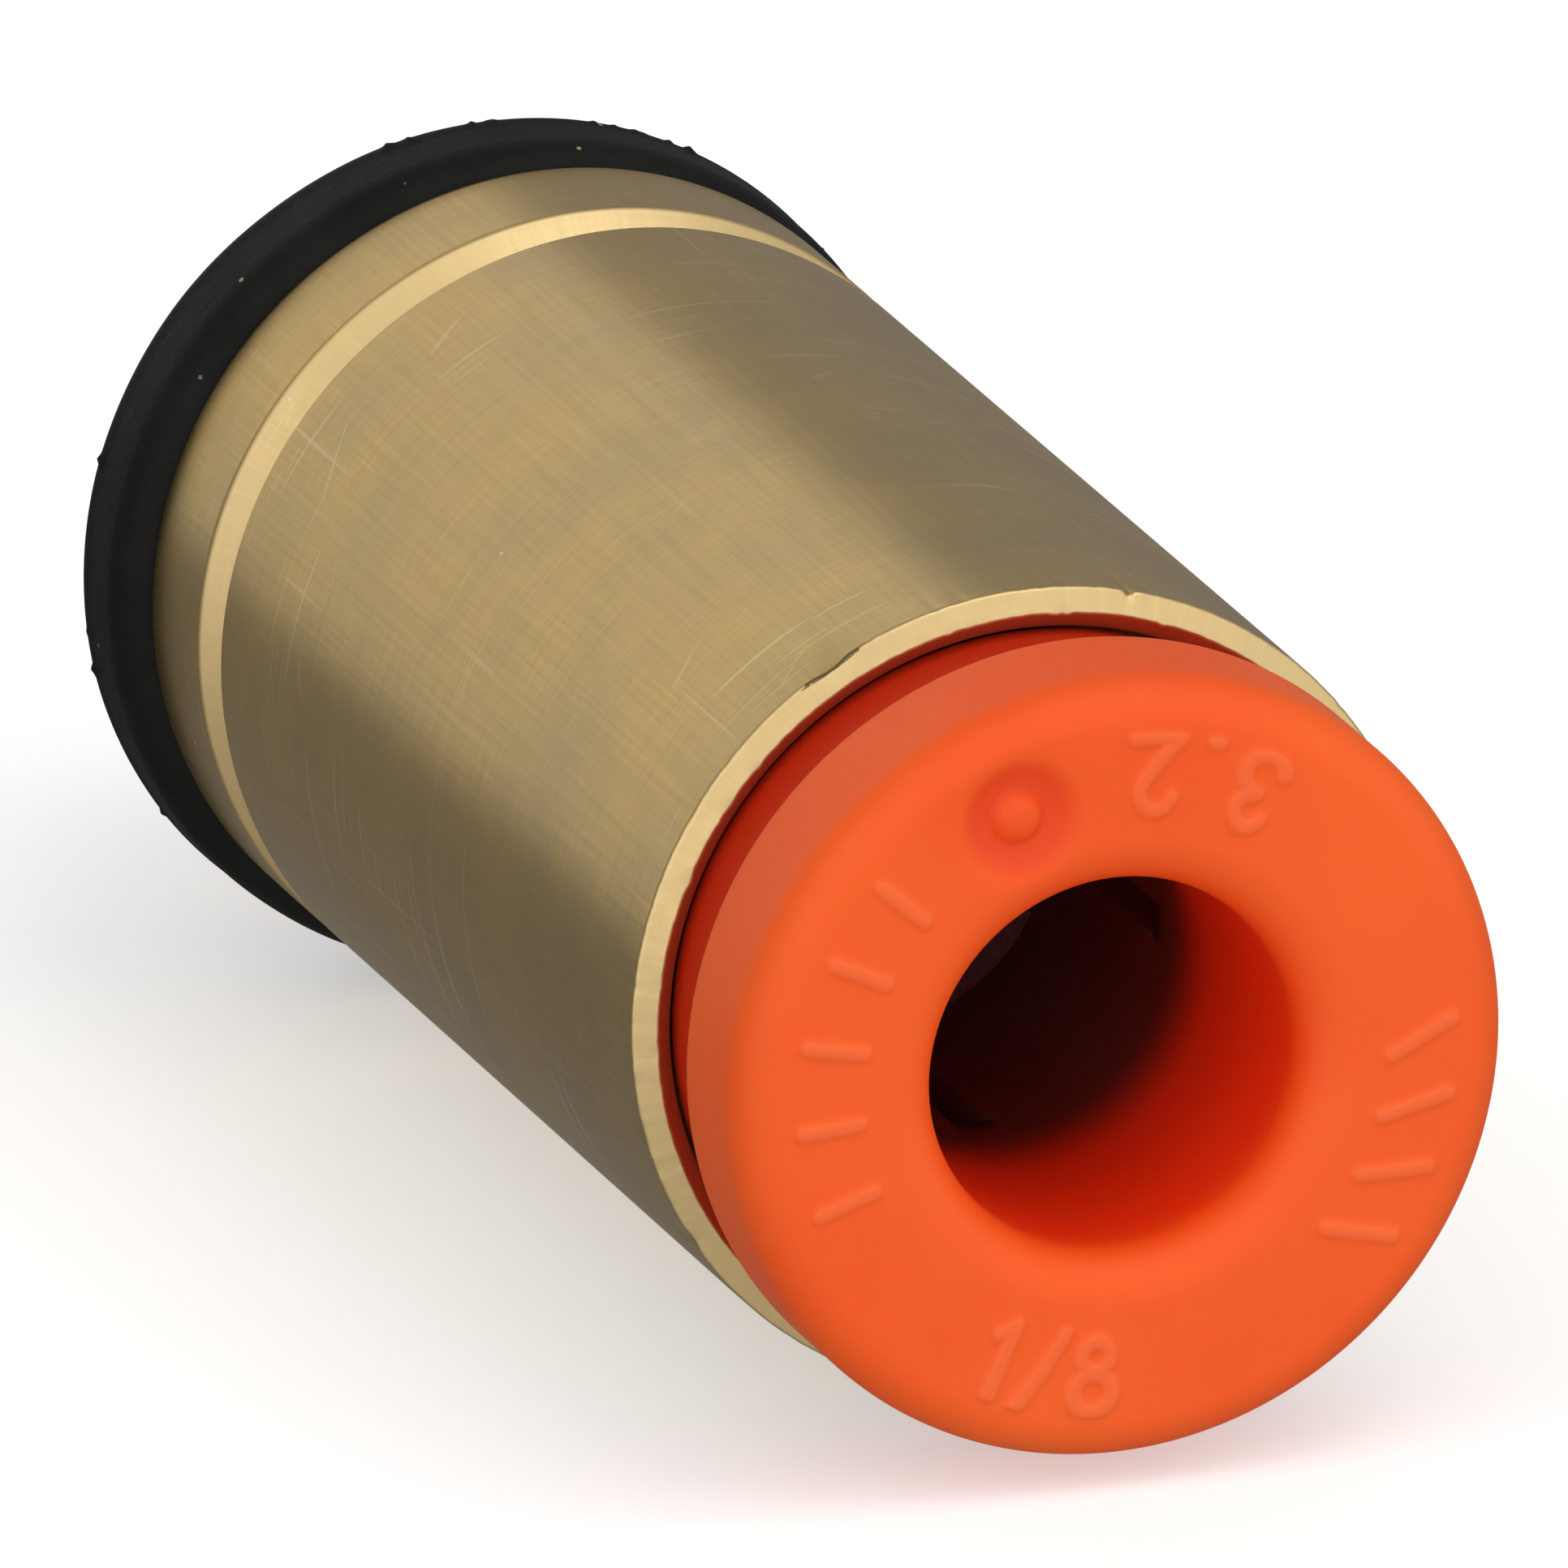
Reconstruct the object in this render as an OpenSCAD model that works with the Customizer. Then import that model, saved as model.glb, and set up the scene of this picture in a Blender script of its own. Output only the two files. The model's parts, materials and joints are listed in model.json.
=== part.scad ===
// Push-in male connector for 3.2 mm tube, round body, with a 10-32 threaded stud.
// The axis lies along Y. The release bush faces -Y and the stud points to +Y.
// The origin is on the axis, in the plane where the gasket seats on its port.

/* [Barrel] */
// Outside diameter of the round brass body
barrel_d = 7.2; // [7.1:0.05:7.5]
// Length of the body from its seat face to its rim
barrel_len = 12.44; // [12.4:0.02:12.8]
// Length of the flange behind the identification groove
flange_len = 1.22; // [1:0.02:1.3]
// Width of the identification groove
groove_w = 0.58; // [0.4:0.02:0.7]
// Depth of the identification groove
groove_depth = 0.35; // [0.2:0.05:0.4]
// Radial width of the rim around the mouth
rim_w = 0.21; // [0.15:0.01:0.22]
// How far the rim falls away to its outside edge
rim_fall = 0.1; // [0.04:0.01:0.1]
// Chamfer on the inside of the rim
mouth_chamfer = 0.17; // [0.1:0.01:0.18]
// Chamfer on the seat's outside edge
edge_chamfer = 0.04; // [0.02:0.01:0.1]

/* [Stud] */
// Major diameter of the stud's thread
thread_d = 4.826; // [4.7:0.002:4.9]
// Minor diameter of the stud's thread
thread_core_d = 3.858; // [3.7:0.002:3.95]
// Pitch of the thread
thread_pitch = 0.794; // [0.7:0.001:0.8]
// Number of full thread crests clear of the gasket
thread_crests = 4; // [3:1:4]
// Length of the stud beyond the gasket
stud_len = 3.1; // [3.05:0.05:4]
// Chamfer on the tip of the stud
stud_chamfer = 0.25; // [0.1:0.05:0.4]
// Diameter of the flow passage through the stud
flow_d = 1.9; // [1.2:0.1:1.9]
// Size of the key socket across its flats
hex_af = 2; // [1.95:0.05:2.1]
// Depth of the key socket
hex_depth = 2.06; // [1.5:0.02:2.06]

/* [Gasket] */
// Outside diameter of the gasket
gasket_d = 7.52; // [7.3:0.02:7.8]
// Thickness of the gasket
gasket_t = 1.3; // [1.2:0.05:1.4]
// Inside diameter of the gasket where it passes the thread
gasket_bore_d = 5.1; // [5:0.02:5.2]
// Inside diameter of the thin lip that keeps the gasket on the stud
gasket_lip_d = 4.4; // [4.2:0.05:4.6]
// Thickness of that lip
gasket_lip_t = 0.35; // [0.25:0.05:0.4]
// Rounding of the gasket's outer edges
gasket_round = 0.4; // [0.2:0.02:0.42]
// Thickness of the steel washer inside the rubber
washer_t = 0.4; // [0.3:0.05:0.5]
// Outside diameter of the steel washer
washer_d = 6.6; // [6:0.1:6.8]

/* [Tube port] */
// Outside diameter of the tube that the connector takes
tube_d = 3.2; // [3.1:0.01:3.25]
// Diameter of the bush's bore that guides the tube
port_d = 3.3; // [3.28:0.01:3.34]

/* [Seal] */
// Outside diameter of the tube seal
seal_d = 5.2; // [5.16:0.02:5.4]
// Length of the chamber that holds the seal
seal_len = 1.8; // [1.7:0.05:1.8]
// Depth of the groove between the seal's two lips
seal_groove = 0.7; // [0.5:0.05:0.9]

/* [Release bush] */
// Diameter of the bush's head
head_d = 6.97; // [6.8:0.01:7]
// Thickness of the bush's head
head_len = 1.39; // [1.2:0.01:1.6]
// Gap between the head and the rim at rest
head_gap = 0.93; // [0.88:0.01:1]
// Rounding of the head's outer edge
head_round = 0.4; // [0.2:0.02:0.5]
// Rounding of the tube mouth
mouth_round = 0.45; // [0.2:0.05:0.5]
// Diameter of the collar that fills the rim
collar_d = 6.3; // [6.2:0.02:6.32]
// Diameter of the slotted skirt below the collar
skirt_d = 5.2; // [5.16:0.02:5.22]
// Diameter over the snap barbs
barb_d = 5.8; // [5.7:0.02:5.82]
// Width of the slots that let the barbs spring
slot_w = 0.35; // [0.25:0.05:0.5]
// How far the bush is pressed in
press_travel = 0.8; // [0.5:0.05:0.8]

/* [Chuck] */
// Thickness of the chuck's spring steel
finger_t = 0.18; // [0.14:0.01:0.2]
// Angle of a gripping finger below the flat
finger_tilt = 35; // [32:1:38]
// Length of a gripping finger
finger_len = 1.3; // [1.2:0.01:1.32]
// Arc that one finger covers
finger_arc = 34; // [28:1:36]

/* [Hidden] */
$fn = 96;

FINGERS = 8;
BRASS = [0.76, 0.62, 0.36];
ORANGE = [0.98, 0.36, 0.08];
STEEL = [0.72, 0.73, 0.75];
RUBBER = [0.08, 0.08, 0.08];
NATURAL = [0.90, 0.88, 0.82];

cut = 0.5;           // how far a cutter runs past the surface that it opens
slip = 0.02;         // radial room of an inner piece that drops in
end_room = 0.05;     // room at the end of a travel
run_room = 0.1;      // radial room between the bush and the guide
pivot_room = 0.07;   // radial room of a finger's root in its race
pin_facets = 32;     // facets of the smallest rounds

// Heights along the axis, from the port plane towards the bush
seat_z = gasket_t;
groove_z = seat_z + flange_len;
barrel_z = groove_z + groove_w;
rim_z = seat_z + barrel_len;

barrel_r = barrel_d / 2;
rim_r = barrel_r - rim_w;
chamber_r = rim_r - mouth_chamfer;
drop_in_r = chamber_r - slip;

// The bore steps from the stud up to the chamber
socket_floor = 0.2;
hex_z = seat_z + socket_floor;
stop_z = hex_z + hex_depth;
tube_seat_len = 2.34;
tube_bore_r = tube_d / 2 + 0.08;
seal_z = stop_z + tube_seat_len;
chamber_z = seal_z + seal_len;

// The collet carries the chuck, and the guide holds both down
collet_len = 1.65;
collet_floor = 0.6;
collet_bore_r = tube_bore_r + 0.1;
collet_low_r = 2.2;
collet_top_r = 2.75;
chuck_z = chamber_z + collet_len;
chuck_len = 0.57;
chuck_in_r = 2.66;
pivot_z = chuck_z + 0.3;
pivot_r = 2.6;
guide_z = chuck_z + chuck_len;
guide_skirt_len = 1.48;
guide_lip_len = 1.2;
guide_lead = 0.2;
guide_lip_z = guide_z + guide_skirt_len;
guide_top_z = guide_lip_z + guide_lip_len;
guide_wall_r = barb_d / 2 + run_room;
guide_lip_r = skirt_d / 2 + run_room;

// The bush, from its nose up to its face
head_z = rim_z + head_gap;
face_z = head_z + head_len;
head_r = head_d / 2;
port_r = port_d / 2;
collar_z = guide_top_z + press_travel + end_room;
barb_len = 0.35;
cone_len = 0.5;
barb_top_z = guide_lip_z - end_room;
barb_low_z = barb_top_z - barb_len;
cone_z = barb_low_z - cone_len;
cone_r = 2.3;
nose_z = pivot_z - 0.04;
nose_r = 1.9;
slot_top_z = guide_lip_z + 0.8;

// The thread's crests are short cylinders, one pitch apart
thread_r = thread_d / 2;
core_r = thread_core_d / 2;
crest_w = thread_pitch / 8;
flank_w = (thread_r - core_r) * tan(30);

// Points of a round corner, centred at c, from angle a0 to angle a1
function arc_points(c, r, a0, a1, steps = 10) =
    [for (i = [0:steps]) let (a = a0 + (a1 - a0) * i / steps) c + r * [cos(a), sin(a)]];

// Lays a piece that is turned about +Z down along the Y axis
module lay_down() {
    rotate([90, 0, 0]) children();
}

// Solid of revolution from an outline of radius and height
module turned(outline) {
    rotate_extrude() polygon(outline);
}

// Round cutter or disc along the axis between two heights
module disc(r, z0, z1) {
    translate([0, 0, z0]) cylinder(r = r, h = z1 - z0);
}

// Outline of one thread crest with its flanks, from the tip side up
function crest_outline(z) = [
    [core_r, z - crest_w - flank_w],
    [thread_r, z - crest_w],
    [thread_r, z],
    [core_r, z + flank_w]
];

// Right side of the stud's outline, from its tip up to the seat face
function stud_outline() = concat(
    [[0, -stud_len], [core_r - stud_chamfer, -stud_len], [core_r, -stud_len + stud_chamfer]],
    [for (i = [thread_crests - 1:-1:0]) each crest_outline(-i * thread_pitch)],
    [[core_r, seat_z]]
);

// Right side of the barrel's outline, from the seat face to the rim; the groove's stud side slopes
function barrel_outline() = [
    [barrel_r - edge_chamfer, seat_z],
    [barrel_r, seat_z + edge_chamfer],
    [barrel_r, groove_z],
    [barrel_r - groove_depth, groove_z + groove_depth],
    [barrel_r - groove_depth, barrel_z],
    [barrel_r, barrel_z],
    [barrel_r, rim_z - rim_fall],
    [rim_r, rim_z],
    [0, rim_z]
];

// Six-sided socket that a key turns the connector by
module key_socket() {
    translate([0, 0, hex_z]) cylinder(r = hex_af / 2 / cos(30), h = hex_depth, $fn = 6);
}

module body() {
    color(BRASS) lay_down() difference() {
        turned(concat(stud_outline(), barrel_outline()));
        disc(flow_d / 2, -stud_len - cut, hex_z + cut);
        key_socket();
        disc(tube_bore_r, stop_z, seal_z + cut);
        disc(seal_d / 2, seal_z, chamber_z + cut);
        disc(chamber_r, chamber_z, rim_z + cut);
        turned([
            [0, rim_z - mouth_chamfer],
            [chamber_r, rim_z - mouth_chamfer],
            [rim_r, rim_z],
            [0, rim_z]
        ]);
    }
}

// Rubber ring with two lips that the pressure spreads
module seal() {
    low_z = seal_z + end_room;
    top_z = chamber_z - end_room;
    lip_r = tube_d / 2 - 0.05;
    lip_t = 0.2;
    lip_lead = 0.15;
    throat_z = low_z + seal_groove + end_room;
    groove_r = (collet_bore_r + seal_d / 2) / 2;
    color(RUBBER) lay_down() turned([
        [collet_bore_r, top_z],
        [collet_bore_r, throat_z],
        [lip_r, low_z + 2 * lip_lead],
        [lip_r, low_z + lip_lead],
        [lip_r + lip_t, low_z],
        [groove_r - lip_t / 2, low_z + seal_groove],
        [groove_r + lip_t / 2, low_z + seal_groove],
        [seal_d / 2 - lip_t, low_z],
        [seal_d / 2, low_z],
        [seal_d / 2, top_z]
    ]);
}

// Plastic ring between the seal and the chuck, hollowed so the fingers can swing
module collet() {
    color(NATURAL) lay_down() turned([
        [collet_bore_r, chamber_z],
        [drop_in_r, chamber_z],
        [drop_in_r, chuck_z],
        [collet_top_r, chuck_z],
        [collet_low_r, chamber_z + collet_floor],
        [collet_bore_r, chamber_z + collet_floor]
    ]);
}

// Rim of the chuck, with the shallow race that the fingers bend from
module chuck_ring() {
    color(STEEL) lay_down() difference() {
        turned([
            [chuck_in_r, chuck_z],
            [drop_in_r, chuck_z],
            [drop_in_r, guide_z],
            [chuck_in_r, guide_z]
        ]);
        rotate_extrude() translate([pivot_r, pivot_z])
            circle(r = finger_t / 2 + pivot_room, $fn = pin_facets);
    }
}

// One gripping finger, leaning in and away from the mouth
module chuck_finger(i) {
    turn = (i - 1) * 360 / FINGERS - finger_arc / 2;
    color(STEEL) lay_down() rotate([0, 0, turn]) rotate_extrude(angle = finger_arc) {
        translate([pivot_r, pivot_z]) {
            circle(r = finger_t / 2, $fn = pin_facets);
            rotate(180 + finger_tilt) polygon([
                [0, -finger_t / 2],
                [finger_len, -finger_t / 2],
                [finger_len - finger_t, finger_t / 2],
                [0, finger_t / 2]
            ]);
        }
    }
}

// Metal sleeve pressed into the body: its lip keeps the bush in
module guide() {
    color(BRASS) lay_down() turned([
        [guide_wall_r, guide_z],
        [chamber_r, guide_z],
        [chamber_r, guide_top_z],
        [guide_lip_r + guide_lead, guide_top_z],
        [guide_lip_r, guide_top_z - guide_lead],
        [guide_lip_r, guide_lip_z],
        [guide_wall_r, guide_lip_z]
    ]);
}

// Right side of the bush's outline, from its nose up to the tube mouth
function bush_outline() = concat(
    [[port_r, nose_z], [nose_r, nose_z], [cone_r, cone_z]],
    [[barb_d / 2, barb_low_z], [barb_d / 2, barb_top_z], [skirt_d / 2, barb_top_z]],
    [[skirt_d / 2, collar_z], [collar_d / 2, collar_z], [collar_d / 2, head_z], [head_r, head_z]],
    arc_points([head_r - head_round, face_z - head_round], head_round, 0, 90),
    arc_points([port_r + mouth_round, face_z - mouth_round], mouth_round, 90, 180)
);

// Slots that let the skirt's barbs spring through the guide
module skirt_slots() {
    for (turn = [0, 90]) rotate([0, 0, turn])
        translate([-barb_d, -slot_w / 2, nose_z - cut])
            cube([2 * barb_d, slot_w, slot_top_z - nose_z + cut]);
}

module release_bush() {
    color(ORANGE) lay_down() difference() {
        turned(bush_outline());
        skirt_slots();
    }
}

// Rubber of the gasket, open towards the stud where the washer sits
module gasket_rubber() {
    outer_r = gasket_d / 2;
    bore_r = gasket_bore_d / 2;
    lip_r = gasket_lip_d / 2;
    lip_z = gasket_t - gasket_lip_t;
    color(RUBBER) lay_down() difference() {
        turned(concat(
            [[bore_r, 0]],
            arc_points([outer_r - gasket_round, gasket_round], gasket_round, -90, 0),
            arc_points([outer_r - gasket_round, gasket_t - gasket_round], gasket_round, 0, 90),
            [[lip_r, gasket_t], [lip_r, lip_z + gasket_lip_t / 2], [bore_r, lip_z]]
        ));
        disc(washer_d / 2, (gasket_t - washer_t) / 2, (gasket_t + washer_t) / 2);
    }
}

// Stainless washer that the rubber is moulded around
module gasket_washer() {
    color(STEEL) lay_down() difference() {
        disc(washer_d / 2, (gasket_t - washer_t) / 2, (gasket_t + washer_t) / 2);
        disc(gasket_bore_d / 2, -cut, gasket_t + cut);
    }
}

body();
seal();
collet();
chuck_ring();
chuck_finger(1);  // chuck_finger_1
chuck_finger(2);  // chuck_finger_2
chuck_finger(3);  // chuck_finger_3
chuck_finger(4);  // chuck_finger_4
chuck_finger(5);  // chuck_finger_5
chuck_finger(6);  // chuck_finger_6
chuck_finger(7);  // chuck_finger_7
chuck_finger(8);  // chuck_finger_8
guide();
release_bush();
gasket_rubber();
gasket_washer();
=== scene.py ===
"""Push-in male connector for 3.2 mm tube: the looks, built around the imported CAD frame."""

import json
import math

import bpy
import numpy as np
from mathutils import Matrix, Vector


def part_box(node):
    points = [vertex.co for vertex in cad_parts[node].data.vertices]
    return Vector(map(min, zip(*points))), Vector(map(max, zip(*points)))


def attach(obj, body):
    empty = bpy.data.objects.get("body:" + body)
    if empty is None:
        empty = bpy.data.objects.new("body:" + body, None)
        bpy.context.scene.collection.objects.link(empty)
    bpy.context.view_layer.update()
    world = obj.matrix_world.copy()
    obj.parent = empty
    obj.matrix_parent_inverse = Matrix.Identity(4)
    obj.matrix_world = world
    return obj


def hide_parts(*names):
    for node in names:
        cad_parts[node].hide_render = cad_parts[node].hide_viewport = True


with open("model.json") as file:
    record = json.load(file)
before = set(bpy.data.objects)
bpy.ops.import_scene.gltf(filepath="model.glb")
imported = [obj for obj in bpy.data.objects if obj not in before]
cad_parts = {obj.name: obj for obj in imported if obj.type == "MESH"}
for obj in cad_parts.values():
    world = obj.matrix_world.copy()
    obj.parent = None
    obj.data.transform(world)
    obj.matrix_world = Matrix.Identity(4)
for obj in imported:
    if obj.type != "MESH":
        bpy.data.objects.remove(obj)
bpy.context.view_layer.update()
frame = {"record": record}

MM = 0.001


# ---------------------------------------------------------------- sizes, taken from the frame

def far_from_axis(node):
    """Largest radius of a CAD node about the Y axis, in millimetres."""
    low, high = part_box(node)
    return max(high.x, -low.x, high.z, -low.z) / MM


def height(node, end):
    """Height of a CAD node's end along the axis towards the bush: 0 is the low end, 1 the high one."""
    low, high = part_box(node)
    return (-high.y if end == 0 else -low.y) / MM


BARREL_R = far_from_axis("body")
RIM_Z = height("body", 1)
STUD_TIP_Z = height("body", 0)
SEAT_Z = height("gasket_rubber", 1)
GASKET_R = far_from_axis("gasket_rubber")
HEAD_R = far_from_axis("release_bush")
FACE_Z = height("release_bush", 1)
NOSE_Z = height("release_bush", 0)
CHUCK_Z = height("chuck_ring", 0)
GUIDE_Z = height("guide", 0)
GUIDE_TOP_Z = height("guide", 1)
CHAMBER_R = far_from_axis("guide")
DROP_IN_R = far_from_axis("collet")
CHAMBER_Z = height("collet", 0)
SEAL_R = far_from_axis("seal")
SEAL_LOW_Z = height("seal", 0)
SEAL_TOP_Z = height("seal", 1)
WASHER_R = far_from_axis("gasket_washer")
PORT_R = next(m for m in frame["record"]["mounts"] if m["name"] == "tube_port")["dims"]["r_mm"]
THREAD_R = next(m for m in frame["record"]["mounts"] if m["name"] == "thread")["dims"]["r_mm"]

FLANGE_LEN = 1.22
GROOVE_W = 0.58
GROOVE_DEPTH = 0.35
MOUTH_CHAMFER = 0.17
RIM_FALL = 0.1
RIM_R = CHAMBER_R + MOUTH_CHAMFER
THREAD_CORE_R = 1.929
THREAD_PITCH = 0.794
STUD_CHAMFER = 0.25
FLOW_R = 0.95
SOCKET_R = FLOW_R + 0.2
HEX_AF = 2.0
HEX_Z = SEAT_Z + 0.2
HEX_DEPTH = 2.06
STOP_Z = HEX_Z + HEX_DEPTH
TUBE_SEAT_R = 1.68
SEAL_Z = SEAL_LOW_Z - 0.05
COLLET_BORE_R = 1.78
HEAD_GAP = 0.93
HEAD_Z = RIM_Z + HEAD_GAP
HEAD_ROUND = 0.4
MOUTH_ROUND = 0.45
COLLAR_R = 3.18
COLLAR_Z = GUIDE_TOP_Z + 0.85
SKIRT_R = 2.6
BARB_R = 2.9
GUIDE_LIP_Z = GUIDE_Z + 1.48
BARB_TOP_Z = GUIDE_LIP_Z - 0.05
SLOT_W = 0.35
SLOT_TOP_Z = GUIDE_LIP_Z + 0.8
PIVOT_R = 2.6
PIVOT_Z = CHUCK_Z + 0.3
CHUCK_INNER_R = 2.66
RACE_ROOM = 0.07
FINGER_T = 0.18
FINGER_LEN = 1.3
FINGER_TILT = math.radians(35)
FINGER_ARC = math.radians(34)
FINGERS = 8
GASKET_BORE_R = 2.55
GASKET_SLACK = 0.12
GASKET_LIP_R = 2.2
GASKET_LIP_T = 0.35
GASKET_ROUND = 0.4
WASHER_T = 0.4
WASHER_LOW_Z = (SEAT_Z - WASHER_T) / 2
WASHER_HIGH_Z = (SEAT_Z + WASHER_T) / 2


# ---------------------------------------------------------------- mesh building

TOUCH = 1e-6


def arc(centre, r, a0, a1, steps):
    """Points of an arc in the plane of radius and height, angles in degrees."""
    out = []
    for i in range(steps + 1):
        a = math.radians(a0 + (a1 - a0) * i / steps)
        out.append((centre[0] + r * math.cos(a), centre[1] + r * math.sin(a)))
    return out


def eased(points, ease=0.02, hold=0.012):
    """A closed outline with each corner rounded, and a held loop on either side of each round."""
    out = []
    count = len(points)
    for i, p in enumerate(points):
        corner = Vector(p[:2])
        size = p[2] if len(p) > 2 else ease
        before = Vector(points[i - 1][:2]) - corner
        after = Vector(points[(i + 1) % count][:2]) - corner
        reach = min(size, before.length * 0.35, after.length * 0.35)
        if reach < 1e-4:
            out.append(tuple(corner))
            continue
        start = corner + before.normalized() * reach
        end = corner + after.normalized() * reach
        weight = math.sin(before.angle(after) / 2)
        steps = max(3, round(reach * 40))
        out.append(tuple(start + before.normalized() * min(hold, reach / 2)))
        for k in range(steps + 1):
            t = k / steps
            parts = ((1 - t) ** 2, 2 * t * (1 - t) * weight, t ** 2)
            out.append(tuple((start * parts[0] + corner * parts[1] + end * parts[2]) / sum(parts)))
        out.append(tuple(end + after.normalized() * min(hold, reach / 2)))
    return out


def subdivided(a, b, step):
    """Points from a up to but not including b, about a step apart."""
    a, b = Vector(a), Vector(b)
    count = max(1, math.ceil((b - a).length / step))
    return [tuple(a.lerp(b, i / count)) for i in range(count)]


def place(r, z, angle):
    """Position in metres of a point at that radius and height, turned about the axis."""
    return np.stack([r * np.cos(angle), -z, r * np.sin(angle)], -1) * MM


def new_piece(name, verts, faces, body, node, material):
    """A shaded mesh that rides on a body and stands for a CAD node."""
    mesh = bpy.data.meshes.new(name)
    mesh.from_pydata([tuple(v) for v in verts], [], faces)
    mesh.validate()
    mesh.update()
    mesh.shade_smooth()
    piece = bpy.data.objects.new(name, mesh)
    bpy.context.scene.collection.objects.link(piece)
    mesh.materials.append(material)
    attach(piece, body)
    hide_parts(node)
    return piece


def grid_faces(rings, columns):
    """Quads of a grid that closes on itself both ways, facing outwards for a counter-clockwise outline."""
    i = np.arange(rings)[:, None]
    j = np.arange(columns)[None, :]
    ni, nj = (i + 1) % rings, (j + 1) % columns
    quads = np.stack([i * columns + j, i * columns + nj, ni * columns + nj, ni * columns + j], -1)
    return quads.reshape(-1, 4)


def turned(outline, columns, shape=None):
    """Vertices and faces of a ring turned about the axis. shape(r, z, angle) may move the points."""
    r = np.array([p[0] for p in outline])[:, None]
    z = np.array([p[1] for p in outline])[:, None]
    angle = np.arange(columns)[None, :] * 2 * math.pi / columns
    r, z, angle = np.broadcast_arrays(r, z, angle)
    if shape:
        r, z = shape(r.copy(), z.copy(), angle)
    return place(r, z, angle).reshape(-1, 3), grid_faces(len(outline), columns).tolist()


def ripple(angle, seed, terms=9, slope=0.6):
    """A smooth random curve round the axis, about -1 to 1, that closes on itself."""
    rng = np.random.default_rng(seed)
    total = np.zeros_like(angle)
    for k in range(1, terms + 1):
        total += rng.normal() * k ** -slope * np.cos(k * angle + rng.uniform(0, 2 * math.pi))
    return total / 2.5


def bumps(angle, seed, count, width):
    """Random narrow bumps round the axis, from 0 to 1."""
    rng = np.random.default_rng(seed)
    total = np.zeros_like(angle)
    for _ in range(count):
        centre = rng.uniform(0, 2 * math.pi)
        size = width * rng.uniform(0.5, 1.6)
        off = (angle - centre + math.pi) % (2 * math.pi) - math.pi
        total = np.maximum(total, rng.uniform(0.3, 1) * np.exp(-(off / size) ** 2))
    return total


def grit(angle, seed):
    """Fine random unevenness round the axis, the same at every height, from 0 to about 1."""
    rng = np.random.default_rng(seed)
    steps = rng.random(angle.shape[1])
    steps = (steps + np.roll(steps, 1) + np.roll(steps, -1)) / 3
    return np.broadcast_to(steps[None, :] ** 2 * 1.6, angle.shape)


# ---------------------------------------------------------------- body

BODY_COLUMNS = 720
STUD_STEP = 0.03
RIM_STEP = 0.035
PLAIN_STEP = 0.4
THREAD_RUN_IN = 0.6
THREAD_RUN_OUT = 0.5
# Knocks on the rim's outer edge: angle and width in degrees, depth in millimetres.
DENTS = ((120.5, 3.0, 0.05), (75.5, 0.6, 0.05), (212.0, 1.6, 0.02))
BURR = 0.022
GRIT = 0.006


def thread_radius(z, angle):
    """Radius of the helical thread at a height and angle: right-handed, 60 degree flanks."""
    flank = (THREAD_R - THREAD_CORE_R) * math.tan(math.radians(30))
    crest = THREAD_PITCH / 8
    phase = (-z - crest / 2 - THREAD_PITCH * angle / (2 * math.pi)) / THREAD_PITCH
    off = np.abs(phase - np.round(phase)) * THREAD_PITCH
    depth = np.clip((off - crest / 2) / flank, 0, 1)
    depth = depth + 0.05 * np.sin(2 * math.pi * depth) / (2 * math.pi)
    full = THREAD_R - (THREAD_R - THREAD_CORE_R) * depth
    run_in = np.clip((SEAT_Z - 0.5 - z) / THREAD_RUN_IN, 0, 1)
    run_out = np.clip((z - STUD_TIP_Z - 0.1) / THREAD_RUN_OUT, 0, 1)
    fade = np.minimum(run_in, run_out)
    return THREAD_CORE_R + (full - THREAD_CORE_R) * fade


def hex_radius(angle):
    """Radius of the key socket's wall at an angle."""
    third = math.pi / 3
    return HEX_AF / 2 / np.cos(angle % third - third / 2)


def body_outline():
    """Closed outline of the body, with finer steps on the stud and the rim."""
    groove_z = SEAT_Z + FLANGE_LEN
    barrel_z = groove_z + GROOVE_W
    outer = [
        (TUBE_SEAT_R, STOP_Z),
        (SOCKET_R, STOP_Z),
        (SOCKET_R, HEX_Z),
        (FLOW_R, HEX_Z),
        (FLOW_R, STUD_TIP_Z, 0.05),
        (THREAD_CORE_R - STUD_CHAMFER, STUD_TIP_Z, 0.05),
        (THREAD_CORE_R, STUD_TIP_Z + STUD_CHAMFER, 0.02),
        (THREAD_CORE_R, SEAT_Z, 0.05),
        (BARREL_R, SEAT_Z, 0.05),
        (BARREL_R, groove_z, 0.03),
        (BARREL_R - GROOVE_DEPTH, groove_z + GROOVE_DEPTH, 0.05),
        (BARREL_R - GROOVE_DEPTH, barrel_z, 0.05),
        (BARREL_R, barrel_z, 0.03),
        (BARREL_R, RIM_Z - RIM_FALL, 0.025),
        (RIM_R, RIM_Z, 0.02),
        (CHAMBER_R, RIM_Z - MOUTH_CHAMFER, 0.03),
        (CHAMBER_R, CHAMBER_Z),
        (SEAL_R, CHAMBER_Z),
        (SEAL_R, SEAL_Z),
        (TUBE_SEAT_R, SEAL_Z),
    ]
    fine = []
    loop = eased(outer)
    for i, p in enumerate(loop):
        q = loop[(i + 1) % len(loop)]
        on_stud = abs(p[0] - THREAD_CORE_R) < TOUCH and abs(q[0] - THREAD_CORE_R) < TOUCH
        on_rim = min(p[1], q[1]) > RIM_Z - 0.4 and min(p[0], q[0]) > RIM_R - 0.2
        step = STUD_STEP if on_stud else RIM_STEP if on_rim else PLAIN_STEP
        fine += subdivided(p, q, step)
    return fine


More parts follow.
